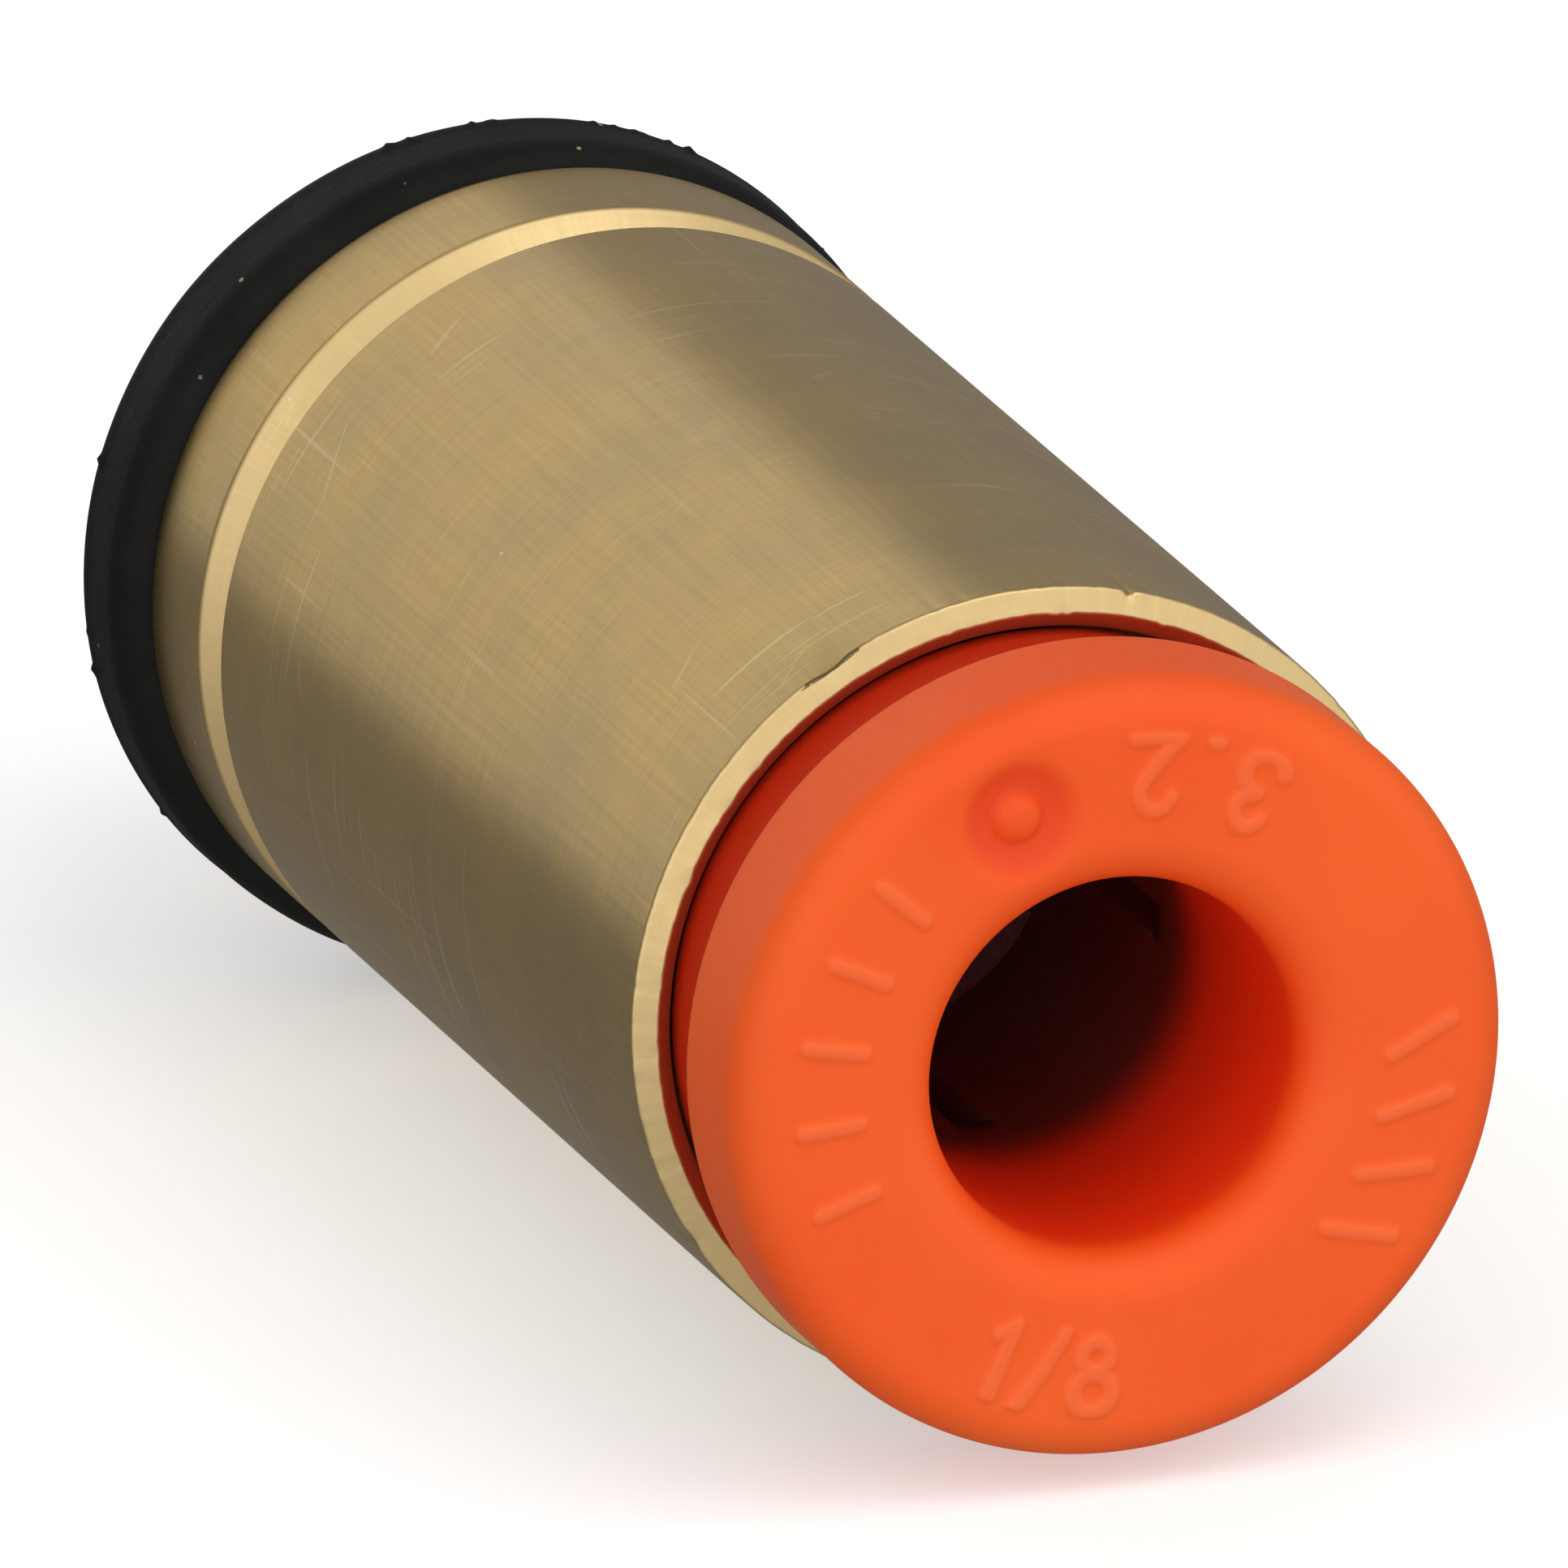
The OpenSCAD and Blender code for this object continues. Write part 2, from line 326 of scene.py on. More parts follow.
def shape_body(r, z, angle):
    """The thread, the key socket, and small dents and burrs on the edges."""
    stud = (np.abs(r - THREAD_CORE_R) < 1e-4) & (z < SEAT_Z - 0.2)
    r = np.where(stud, thread_radius(z, angle), r)
    socket = (r > FLOW_R + 0.1) & (r < TUBE_SEAT_R - 0.1) & (z < STOP_Z + 0.01) & (z > HEX_Z - 0.01)
    r = np.where(socket, np.clip(hex_radius(angle) + (r - SOCKET_R), FLOW_R, TUBE_SEAT_R), r)
    return wear_rim(r, z, angle)


def wear_rim(r, z, angle):
    """Dents on the rim where the barrel was knocked, and a faint raised burr on its inner edge."""
    outer_edge = np.exp(-((z - RIM_Z + RIM_FALL) / 0.1) ** 2 - ((r - BARREL_R) / 0.1) ** 2)
    inner_edge = np.exp(-((z - RIM_Z) / 0.1) ** 2 - ((r - RIM_R) / 0.05) ** 2)
    for centre, width, depth in DENTS:
        off = (np.degrees(angle) - centre) / width
        r = r - depth * outer_edge * np.exp(-off ** 2)
    r = r - inner_edge * (BURR * bumps(angle, 5, 30, 0.012) + GRIT * grit(angle, 6))
    r = r - outer_edge * GRIT * grit(angle, 7)
    z = z + (outer_edge + inner_edge) * GRIT * grit(angle, 8)
    return r, z


def make_body():
    verts, faces = turned(body_outline(), BODY_COLUMNS, shape_body)
    return new_piece("body_turned", verts, faces, "housing", "body", brass())


# ---------------------------------------------------------------- release bush

MARK_HEIGHT = 0.72
MARK_MID_R = 2.67
MARK_STROKE = 0.068
MARK_RAISE = 0.036
MARK_SOFTNESS = 0.055
# Angles in degrees: where each numeral starts, and the middles of the plain ticks and ribs.
NUMERALS = (("3", 59.5), (".", 69.5), ("2", 79.5), ("1", 240.5), ("/", 249.5), ("8", 259.0))
TICKS = (139.0, 154.0, 169.0, 184.0, 199.0)
TICK_FROM_R = 2.42
TICK_TO_R = 2.92
RIBS = (322.0, 335.0, 348.0, 361.0)
RIB_FROM_R = 2.40
RIB_TO_R = 2.94
RIB_LEAN = 0.13
DOT_MID_R = 2.55
DOT_ANGLE = math.radians(111.7)
DOT_ACROSS = DOT_MID_R * math.cos(DOT_ANGLE)
DOT_UP = DOT_MID_R * math.sin(DOT_ANGLE)
DOT_R = 0.24
DOT_HEIGHT = 0.13
POCKET_R = 0.47
POCKET_DEPTH = 0.16
FACE_STEP = 0.02
BUSH_STEP = 0.3
WALL_COLUMNS = 220
SLOT_COLUMNS = 20
SLOTS = 4


def stroke(u, v, a, b):
    """Distance from points to a straight stroke."""
    ax, ay = a
    dx, dy = b[0] - ax, b[1] - ay
    t = np.clip(((u - ax) * dx + (v - ay) * dy) / (dx * dx + dy * dy), 0, 1)
    return np.hypot(u - ax - t * dx, v - ay - t * dy)


def bow(u, v, centre, r, a0, a1):
    """Distance from points to an arc stroke, angles in degrees, a0 below a1."""
    ang = np.degrees(np.arctan2(v - centre[1], u - centre[0]))
    mid, half = (a0 + a1) / 2, (a1 - a0) / 2
    off = (ang - mid + 180) % 360 - 180
    on_arc = np.abs(np.hypot(u - centre[0], v - centre[1]) - r)
    ends = []
    for a in (a0, a1):
        a = math.radians(a)
        ends.append(np.hypot(u - centre[0] - r * math.cos(a), v - centre[1] - r * math.sin(a)))
    return np.where(np.abs(off) <= half, on_arc, np.minimum(*ends))


def sign_distance(name, u, v):
    """Distance to a numeral's strokes, in units of its height."""
    if name == "3":
        return np.minimum(bow(u, v, (0.29, 0.74), 0.20, -80, 160), bow(u, v, (0.29, 0.28), 0.24, -160, 90))
    if name == "2":
        top = bow(u, v, (0.30, 0.72), 0.22, -35, 165)
        return np.minimum(np.minimum(top, stroke(u, v, (0.48, 0.59), (0.08, 0.04))),
                          stroke(u, v, (0.08, 0.04), (0.56, 0.04)))
    if name == "1":
        return np.minimum(stroke(u, v, (0.30, 0.04), (0.30, 0.95)), stroke(u, v, (0.30, 0.95), (0.12, 0.78)))
    if name == "8":
        return np.minimum(bow(u, v, (0.30, 0.73), 0.19, -180, 180), bow(u, v, (0.30, 0.28), 0.23, -180, 180))
    if name == "/":
        return stroke(u, v, (0.06, 0.0), (0.44, 0.98))
    return stroke(u, v, (0.29, 0.05), (0.31, 0.05))


def raised(distance):
    """1 on a stroke and 0 off it, with a soft shoulder."""
    steps = (distance - MARK_STROKE) / (MARK_SOFTNESS / 4)
    return 1 / (1 + np.exp(np.clip(steps, -50, 50)))


def arc_offset(angle, centre, r):
    """Distance along the circle from a middle angle in degrees."""
    off = (np.degrees(angle) - centre + 180) % 360 - 180
    return np.radians(off) * r


def face_marks(r, angle):
    """Height of the moulded marks on the bush's face: tube sizes, plain ticks and plain ribs."""
    total = np.zeros_like(r)
    for name, start in NUMERALS:
        u = arc_offset(angle, start, MARK_MID_R) / MARK_HEIGHT
        v = (MARK_MID_R - r) / MARK_HEIGHT + 0.5
        total = np.maximum(total, raised(sign_distance(name, u, v) * MARK_HEIGHT))
    for centre in TICKS:
        u = arc_offset(angle, centre, r)
        total = np.maximum(total, raised(stroke(u, r, (0, TICK_FROM_R), (0, TICK_TO_R))))
    for centre in RIBS:
        u = arc_offset(angle, centre, r)
        total = np.maximum(total, raised(stroke(u, r, (-RIB_LEAN, RIB_FROM_R), (RIB_LEAN, RIB_TO_R))))
    return MARK_RAISE * total


def dimple(r, angle):
    """Height of the round pocket in the face, with its low dot."""
    dist = np.hypot(r * np.cos(angle) - DOT_ACROSS, r * np.sin(angle) - DOT_UP)
    pocket = 0.7 * np.exp(-(dist / POCKET_R) ** 6) + 0.3 * np.exp(-(dist / POCKET_R) ** 2)
    dome = np.clip(1 - (dist / DOT_R) ** 2.5, 0, 1)
    return DOT_HEIGHT * dome - POCKET_DEPTH * pocket


def bush_outline():
    """Closed outline of the bush, with a point on each side where the slots end."""
    loop = eased([
        (1.9, NOSE_Z, 0.04),
        (2.3, BARB_TOP_Z - 0.85, 0.04),
        (BARB_R, BARB_TOP_Z - 0.35, 0.03),
        (BARB_R, BARB_TOP_Z, 0.03),
        (SKIRT_R, BARB_TOP_Z, 0.03),
        (SKIRT_R, SLOT_TOP_Z, 0),
        (SKIRT_R, COLLAR_Z, 0.05),
        (COLLAR_R, COLLAR_Z, 0.05),
        (COLLAR_R, HEAD_Z, 0.05),
        (HEAD_R, HEAD_Z, 0.06),
        (HEAD_R, FACE_Z, HEAD_ROUND),
        (PORT_R, FACE_Z, MOUTH_ROUND),
        (PORT_R, SLOT_TOP_Z, 0),
        (PORT_R, NOSE_Z, 0.03),
    ])
    fine = []
    for i, p in enumerate(loop):
        q = loop[(i + 1) % len(loop)]
        on_face = min(p[1], q[1]) > FACE_Z - TOUCH
        fine += subdivided(p, q, FACE_STEP if on_face else BUSH_STEP)
    return fine


def slot_angles(r):
    """Angles of the columns at a radius: the slots' edges stay parallel, whatever the radius."""
    half = np.arcsin(np.clip(SLOT_W / 2 / r, 0, 1))
    pitch = 2 * math.pi / SLOTS
    gap = np.linspace(0, 1, SLOT_COLUMNS, endpoint=False)
    wall = np.linspace(0, 1, WALL_COLUMNS, endpoint=False)
    out = []
    for k in range(SLOTS):
        start = k * pitch
        out.append(start - half + 2 * half * gap[None, :])
        out.append(start + half + (pitch - 2 * half) * wall[None, :])
    return np.concatenate(out, 1)


def bush_points(outline):
    """The bush's vertices, with the marks and the pocket on its face."""
    r = np.array([p[0] for p in outline])[:, None]
    z = np.array([p[1] for p in outline])[:, None]
    angle = slot_angles(r)
    r, z = np.broadcast_to(r, angle.shape), np.broadcast_to(z, angle.shape)
    on_face = (z > FACE_Z - TOUCH) & (r > PORT_R + MOUTH_ROUND) & (r < HEAD_R - HEAD_ROUND)
    z = z + np.where(on_face, face_marks(r, angle) * face_edge(r), 0)
    z = z + np.where(z > FACE_Z - HEAD_ROUND, dimple(r, angle), 0)
    return place(r, z, angle).reshape(-1, 3)


def bush_faces(outline):
    """The bush's faces, left open where the slots are and closed along their walls."""
    rings = len(outline)
    columns = SLOTS * (WALL_COLUMNS + SLOT_COLUMNS)
    low = [p[1] < SLOT_TOP_Z - TOUCH for p in outline]
    in_slot = [j % (WALL_COLUMNS + SLOT_COLUMNS) < SLOT_COLUMNS for j in range(columns)]
    faces = []
    for k, quad in enumerate(grid_faces(rings, columns).tolist()):
        i, j = divmod(k, columns)
        if in_slot[j] and (low[i] or low[(i + 1) % rings]):
            continue
        faces.append(quad)
    return faces + slot_walls(outline, columns)


def make_release_bush():
    outline = bush_outline()
    verts, faces = bush_points(outline), bush_faces(outline)
    used = sorted({v for f in faces for v in f})
    renumber = {v: i for i, v in enumerate(used)}
    faces = [[renumber[v] for v in f] for f in faces]
    return new_piece(
        "release_bush_moulded", verts[used], faces,
        "release", "release_bush", orange_plastic(),
    )


def face_edge(r):
    """Fades the marks out at the edges of the flat face."""
    inner = np.clip((r - PORT_R - MOUTH_ROUND) / 0.05, 0, 1)
    outer = np.clip((HEAD_R - HEAD_ROUND - r) / 0.05, 0, 1)
    return inner * outer


def slot_walls(outline, columns):
    """Side walls and ceiling of the slots."""
    rings = len(outline)
    tops = [i for i, p in enumerate(outline) if abs(p[1] - SLOT_TOP_Z) < TOUCH]
    outer_top, inner_top = min(tops), max(tops)
    chain = [i % rings for i in range(inner_top, rings + outer_top + 1)]
    faces = []
    for k in range(SLOTS):
        first = k * (WALL_COLUMNS + SLOT_COLUMNS)
        last = first + SLOT_COLUMNS
        faces.append([i * columns + first for i in reversed(chain)])
        faces.append([i * columns + last for i in chain])
        ceiling = [outer_top * columns + j for j in range(first, last + 1)]
        ceiling += [inner_top * columns + j for j in range(last, first - 1, -1)]
        faces.append(ceiling[::-1])
    return faces


# ---------------------------------------------------------------- rubber and inner parts

GASKET_COLUMNS = 480
SMALL_COLUMNS = 160
RING_COLUMNS = 192
FINGER_COLUMNS = 25
PARTING_Z = 0.36
FLASH = 0.045


def gasket_outline():
    """Closed outline of the gasket's rubber, open towards the stud where the washer sits."""
    side = arc((GASKET_R - GASKET_ROUND, GASKET_ROUND), GASKET_ROUND, -90, 0, 10)
    side += arc((GASKET_R - GASKET_ROUND, SEAT_Z - GASKET_ROUND), GASKET_ROUND, 0, 90, 10)
    inner = [
        (GASKET_LIP_R, SEAT_Z, 0.03),
        (GASKET_LIP_R, SEAT_Z - GASKET_LIP_T / 2, 0.05),
        (GASKET_BORE_R, SEAT_Z - GASKET_LIP_T, 0.03),
        (GASKET_BORE_R, WASHER_HIGH_Z),
        (WASHER_R, WASHER_HIGH_Z),
        (WASHER_R, WASHER_LOW_Z),
        (GASKET_BORE_R, WASHER_LOW_Z),
        (GASKET_BORE_R, 0, 0.04),
    ]
    corners = eased(inner + [side[0] + (0,), side[-1] + (0,)])
    keep = [p for p in corners if p not in (side[0], side[-1])]
    fine = []
    for a, b in zip(side, side[1:]):
        fine += subdivided(a, b, 0.05)
    return fine + [side[-1]] + keep


def shape_gasket(r, z, angle):
    """A slightly uneven outside, with flash nibs round the moulding's parting line."""
    outer = np.clip((r - GASKET_R + 0.35) / 0.35, 0, 1)
    parting = np.exp(-((z - PARTING_Z) / 0.07) ** 2)
    r = r - outer * (0.008 - 0.008 * ripple(angle, 11, 14))
    r = r + outer * parting * (0.014 + FLASH * bumps(angle, 12, 36, 0.007))
    z = z + outer * 0.01 * ripple(angle, 13, 10) * (z > 0.3)
    return r, z


def hung_loose(verts):
    """The loose gasket rests to one side on the stud, nearly as far as its bore lets it."""
    return verts - np.array([GASKET_SLACK * MM, 0, 0])


def make_gasket():
    verts, faces = turned(gasket_outline(), GASKET_COLUMNS, shape_gasket)
    verts = hung_loose(verts)
    return new_piece("gasket_ring", verts, faces, "gasket", "gasket_rubber", rubber())


def make_washer():
    loop = eased([
        (GASKET_BORE_R, WASHER_LOW_Z),
        (WASHER_R, WASHER_LOW_Z),
        (WASHER_R, WASHER_HIGH_Z),
        (GASKET_BORE_R, WASHER_HIGH_Z),
    ])
    verts, faces = turned(loop, SMALL_COLUMNS)
    verts = hung_loose(verts)
    return new_piece("gasket_core", verts, faces, "gasket", "gasket_washer", spring_steel())


def make_seal():
    lip_r, lip_t, lead, groove_depth = 1.55, 0.2, 0.15, 0.7
    groove_r = (COLLET_BORE_R + SEAL_R) / 2
    loop = eased([
        (COLLET_BORE_R, SEAL_TOP_Z),
        (COLLET_BORE_R, SEAL_LOW_Z + groove_depth + 0.05, 0.1),
        (lip_r, SEAL_LOW_Z + 2 * lead, 0.05),
        (lip_r, SEAL_LOW_Z + lead, 0.05),
        (lip_r + lip_t, SEAL_LOW_Z, 0.05),
        (groove_r - lip_t / 2, SEAL_LOW_Z + groove_depth, 0.06),
        (groove_r + lip_t / 2, SEAL_LOW_Z + groove_depth, 0.06),
        (SEAL_R - lip_t, SEAL_LOW_Z, 0.05),
        (SEAL_R, SEAL_LOW_Z, 0.05),
        (SEAL_R, SEAL_TOP_Z, 0.05),
    ])
    verts, faces = turned(loop, SMALL_COLUMNS)
    return new_piece("seal_ring", verts, faces, "housing", "seal", clean_rubber())


def make_collet():
    floor_z = CHAMBER_Z + 0.6
    loop = eased([
        (COLLET_BORE_R, CHAMBER_Z),
        (DROP_IN_R, CHAMBER_Z),
        (DROP_IN_R, CHUCK_Z),
        (2.75, CHUCK_Z),
        (2.2, floor_z),
        (COLLET_BORE_R, floor_z),
    ])
    verts, faces = turned(loop, RING_COLUMNS)
    return new_piece("collet_ring", verts, faces, "housing", "collet", natural_plastic())


def make_guide():
    wall_r, lip_r, lead = BARB_R + 0.1, SKIRT_R + 0.1, 0.2
    loop = eased([
        (wall_r, GUIDE_Z),
        (CHAMBER_R, GUIDE_Z),
        (CHAMBER_R, GUIDE_TOP_Z),
        (lip_r + lead, GUIDE_TOP_Z),
        (lip_r, GUIDE_TOP_Z - lead),
        (lip_r, GUIDE_LIP_Z),
        (wall_r, GUIDE_LIP_Z),
    ])
    verts, faces = turned(loop, RING_COLUMNS)
    return new_piece("guide_sleeve", verts, faces, "housing", "guide", brass())


def make_chuck_ring():
    race = FINGER_T / 2 + RACE_ROOM
    reach = math.degrees(math.acos((CHUCK_INNER_R - PIVOT_R) / race))
    groove = arc((PIVOT_R, PIVOT_Z), race, reach, -reach, 10)
    loop = [
        (CHUCK_INNER_R, CHUCK_Z),
        (DROP_IN_R, CHUCK_Z),
        (DROP_IN_R, GUIDE_Z),
        (CHUCK_INNER_R, GUIDE_Z),
    ] + groove
    verts, faces = turned(eased(loop, 0.012), RING_COLUMNS)
    return new_piece("chuck_rim", verts, faces, "housing", "chuck_ring", spring_steel())


def finger_outline():
    """Closed outline of a finger's section: a round root, a flat blade, and a bevelled gripping edge."""
    tilt = 180 + math.degrees(FINGER_TILT)
    half = FINGER_T / 2
    root = arc((0, 0), half, tilt + 90 - 360, tilt - 90, 12)
    along = Vector((math.cos(math.radians(tilt)), math.sin(math.radians(tilt))))
    side = Vector((-along.y, along.x))
    low = along * FINGER_LEN - side * half
    high = along * (FINGER_LEN - FINGER_T) + side * half
    outline = [tuple(low), tuple(high)] + root
    return [tuple(Vector(p) + Vector((PIVOT_R, PIVOT_Z))) for p in outline]


def make_finger(index):
    outline = finger_outline()
    columns = FINGER_COLUMNS
    turn = 2 * math.pi * (index - 1) / FINGERS
    angle = turn + np.linspace(-FINGER_ARC / 2, FINGER_ARC / 2, columns)[None, :]
    r = np.array([p[0] for p in outline])[:, None]
    z = np.array([p[1] for p in outline])[:, None]
    r, z, angle = np.broadcast_arrays(r, z, angle)
    rings = len(outline)
    faces = []
    for i in range(rings):
        for j in range(columns - 1):
            a, b = i * columns + j, ((i + 1) % rings) * columns + j
            faces.append([a, a + 1, b + 1, b])
    faces.append([i * columns for i in range(rings)])
    faces.append([i * columns + columns - 1 for i in reversed(range(rings))])
    piece = new_piece(
        f"chuck_blade_{index}", place(r, z, angle).reshape(-1, 3), faces,
        f"finger_{index}", f"chuck_finger_{index}", spring_steel(),
    )
    bevel = piece.modifiers.new("edges", "BEVEL")
    bevel.width = 0.012 * MM
    bevel.segments = 2
    bevel.limit_method = "ANGLE"
    return piece


# ---------------------------------------------------------------- materials

class Nodes:
    """A short way to build a material's node tree."""

    def __init__(self, name):
        self.material = bpy.data.materials.new(name)
        self.material.use_nodes = True
        self.tree = self.material.node_tree
        self.shader = self.tree.nodes["Principled BSDF"]

    def add(self, kind, inputs=None, **settings):
        node = self.tree.nodes.new(kind)
        for key, value in settings.items():
            setattr(node, key, value)
        for key, value in (inputs or {}).items():
            self.feed(node.inputs[key], value)
        return node

    def feed(self, socket, value):
        if isinstance(value, bpy.types.NodeSocket):
            self.tree.links.new(value, socket)
        elif hasattr(value, "outputs"):
            self.tree.links.new(value.outputs[0], socket)
        else:
            socket.default_value = value

    def math(self, operation, a, b=0.0, clamp=False):
        return self.add("ShaderNodeMath", {0: a, 1: b}, operation=operation, use_clamp=clamp)

    def position(self):
        return self.add("ShaderNodeTexCoord").outputs["Object"]

    def noise(self, vector, scale, detail=2.0, rough=0.5):
        inputs = {"Vector": vector, "Scale": scale, "Detail": detail, "Roughness": rough}
        return self.add("ShaderNodeTexNoise", inputs)

    def ramp(self, value, stops):
        node = self.add("ShaderNodeValToRGB", {"Fac": value})
        ramp = node.color_ramp
        while len(ramp.elements) < len(stops):
            ramp.elements.new(0.5)
        for element, (at, colour) in zip(ramp.elements, stops):
            element.position = at
            element.color = colour if len(colour) == 4 else (*colour, 1)
        return node

    def mix(self, factor, a, b):
        node = self.add("ShaderNodeMix", data_type="RGBA")
        self.feed(node.inputs["Factor"], factor)
        self.feed(node.inputs["A"], a)
        self.feed(node.inputs["B"], b)
        return node.outputs["Result"]

    def spread(self, value, low, high):
        """Maps 0 to 1 onto low to high."""
        return self.add("ShaderNodeMapRange", {"Value": value, "To Min": low, "To Max": high})

    def within(self, value, start, end, most=1.0):
        """Maps start to end onto 0 to the most."""
        inputs = {"Value": value, "From Min": start, "From Max": end, "To Max": most}
        return self.add("ShaderNodeMapRange", inputs)

    def scaled(self, value, factor):
        return self.math("MULTIPLY", value, factor)

    def bump(self, height, strength, distance):
        inputs = {"Height": height, "Strength": strength, "Distance": distance}
        return self.add("ShaderNodeBump", inputs)

    def set(self, **values):
        for key, value in values.items():
            self.feed(self.shader.inputs[key.replace("_", " ")], value)


# The turning lines move this much faster along a face than along the barrel.
FACE_TRAVEL = 2.3
# Share of the cells that hold a speck.
SPECK_SHARE = 0.20


def length(n, x, z):
    return n.math("SQRT", n.math("ADD", n.math("MULTIPLY", x, x), n.math("MULTIPLY", z, z)))


def axial_parts(n):
    """Cosine and sine of the angle about the axis, the radius, and the height, as nodes."""
    parts = n.add("ShaderNodeSeparateXYZ", {0: n.position()})
    x, y, z = parts.outputs
    r = length(n, x, z)
    safe = n.math("MAXIMUM", r, TOUCH)
    return n.math("DIVIDE", x, safe), n.math("DIVIDE", z, safe), r, y


def turning_lines(n, around, along, drift=0.0):
    """Noise drawn out round the axis, as a turning tool leaves it; drift makes the lines climb."""
    c, s, r, y = axial_parts(n)
    travel = n.math("ADD", n.scaled(r, FACE_TRAVEL), y)
    if drift:
        climb = n.scaled(n.math("ARCTAN2", s, c), drift)
        travel = n.math("ADD", travel, climb)
    parts = {0: n.scaled(c, around), 1: n.scaled(s, around), 2: n.scaled(travel, along)}
    return n.add("ShaderNodeCombineXYZ", parts)


_made = {}


def once(builder):
    """Builds each material a single time."""

    def material():
        if builder.__name__ not in _made:
            _made[builder.__name__] = builder()
        return _made[builder.__name__]

    return material


def specks(n, scale, size):
    """1 on small scattered spots, 0 elsewhere."""
    cell = n.add("ShaderNodeTexVoronoi", {"Vector": n.position(), "Scale": scale, "Randomness": 1.0})
    near = n.math("LESS_THAN", cell.outputs["Distance"], size)
    lottery = n.add("ShaderNodeSeparateColor", {0: cell.outputs["Color"]})
    chosen = n.math("GREATER_THAN", lottery.outputs[0], 1 - SPECK_SHARE)
    return n.math("MULTIPLY", near, chosen)


BRASS_DARK = (0.565, 0.402, 0.170)
BRASS_MID = (0.620, 0.430, 0.162)
BRASS_LIGHT = (0.685, 0.462, 0.158)
BRASS_LINE = (0.43, 0.30, 0.125, 1)
# Painted highlight: faced cuts such as the rim are painted paler.
BRASS_FACED_HIGHLIGHT = (0.80, 0.62, 0.33, 1)
BRASS_SCRATCH = (0.86, 0.72, 0.42, 1)
DUST = (0.85, 0.83, 0.78, 1)
DIRT = (0.09, 0.06, 0.03, 1)
GOUGE_ANGLE = math.radians(DENTS[0][0])
GOUGE_NEAR_Z = RIM_Z - 0.11
GOUGE_FAR_Z = RIM_Z - 0.135


@once
def brass():
    n = Nodes("brass_turned")
    fine = n.noise(turning_lines(n, 2.2, 26000), 1.0, 3.0, 0.65)
    grain = n.noise(turning_lines(n, 75, 480), 1.0, 2.0, 0.6)
    blotch = n.noise(n.position(), 700, 4.0, 0.62)
    tint = n.ramp(blotch, [(0.32, BRASS_DARK), (0.50, BRASS_MID), (0.70, BRASS_LIGHT)])
    weave = n.math("ADD", n.scaled(fine, 0.5), n.scaled(grain, 0.5))
    weave_tone = n.ramp(weave, [(0.40, (0, 0, 0)), (0.62, (0.34, 0.34, 0.34))])
    colour = n.mix(weave_tone, tint, BRASS_LINE)
    cut_and_highlight = faced_cut_and_highlight(n)
    # painted highlight: cuts across the axis, such as the rim, painted paler
    colour = n.mix(n.scaled(cut_and_highlight, 0.6), colour, BRASS_FACED_HIGHLIGHT)
    scratch = scratches(n)
    colour = n.mix(n.scaled(scratch, 0.55), colour, BRASS_SCRATCH)
    dust = specks(n, 1500, 0.030)
    colour = n.mix(n.scaled(dust, 0.7), colour, DUST)
    # dark specks of dirt, and a dark streak along the rim's dent
    dark = n.math("MAXIMUM", specks(n, 1100, 0.028), rim_gouge(n))
    colour = n.mix(n.scaled(dark, 0.8), colour, DIRT)
    rough = n.math("ADD", n.spread(weave, 0.20, 0.40), n.scaled(n.math("ADD", dust, cut_and_highlight), 0.13))
    height = n.math("ADD", weave, n.scaled(scratch, -0.25))
    n.set(Base_Color=colour, Roughness=rough, Metallic=1.0, Normal=n.bump(height, 0.35, 0.003 * MM))
    return n.material


def faced_cut_and_highlight(n):
    """1 on cuts made across the axis, such as the rim: they are duller, and painted paler as a painted
    highlight.
    """
    parts = n.add("ShaderNodeSeparateXYZ", {0: n.add("ShaderNodeTexCoord").outputs["Normal"]})
    across = n.math("ABSOLUTE", parts.outputs[1])
    return n.within(across, 0.2, 0.5)


def scratches(n):
    """Broken bright lines: most run round the barrel, a few slant, and short ones lie along it."""
    patches = n.within(n.noise(n.position(), 330, 2.0), 0.47, 0.60)
    rings = n.math("GREATER_THAN", n.noise(turning_lines(n, 1.5, 15000), 1.0, 1.0), 0.69)
    slant = n.math("GREATER_THAN", n.noise(turning_lines(n, 4.0, 8000, 0.0022), 1.0, 1.0), 0.73)
    along = n.math("GREATER_THAN", n.noise(turning_lines(n, 60, 260), 1.0, 1.0), 0.72)
    lines = n.math("ADD", rings, n.scaled(n.math("ADD", slant, along), 0.6), clamp=True)
    return n.math("MULTIPLY", lines, patches)


def rim_gouge(n):
    """1 on a dark ragged streak along a dent in the rim's outer edge, left of the top."""
    c, s, r, y = axial_parts(n)
    off = n.math("ABSOLUTE", n.math("SUBTRACT", n.math("ARCTAN2", s, c), GOUGE_ANGLE))
    across = n.within(off, 0.13, 0.02)
    along = n.within(y, -GOUGE_FAR_Z * MM, -GOUGE_NEAR_Z * MM)
    torn = n.noise(turning_lines(n, 40, 12000), 1.0, 2.0)
    ragged = n.math("GREATER_THAN", n.math("ADD", torn, across), 0.95)
    edge = n.math("SUBTRACT", (BARREL_R - 0.01) * MM, n.scaled(across, 0.05 * MM))
    outside = n.math("GREATER_THAN", r, edge)
    return n.math("MULTIPLY", n.math("MULTIPLY", along, ragged), outside)


ORANGE = (0.91, 0.100, 0.007)
ORANGE_PALE = (0.95, 0.122, 0.011)
# Painted highlight on the tops of the raised marks.
ORANGE_MARK_PAINTED_HIGHLIGHT = (0.97, 0.190, 0.060, 1)
# Painted shade in the round pocket of the face.
ORANGE_POCKET_PAINTED_SHADE = (0.80, 0.045, 0.006, 1)
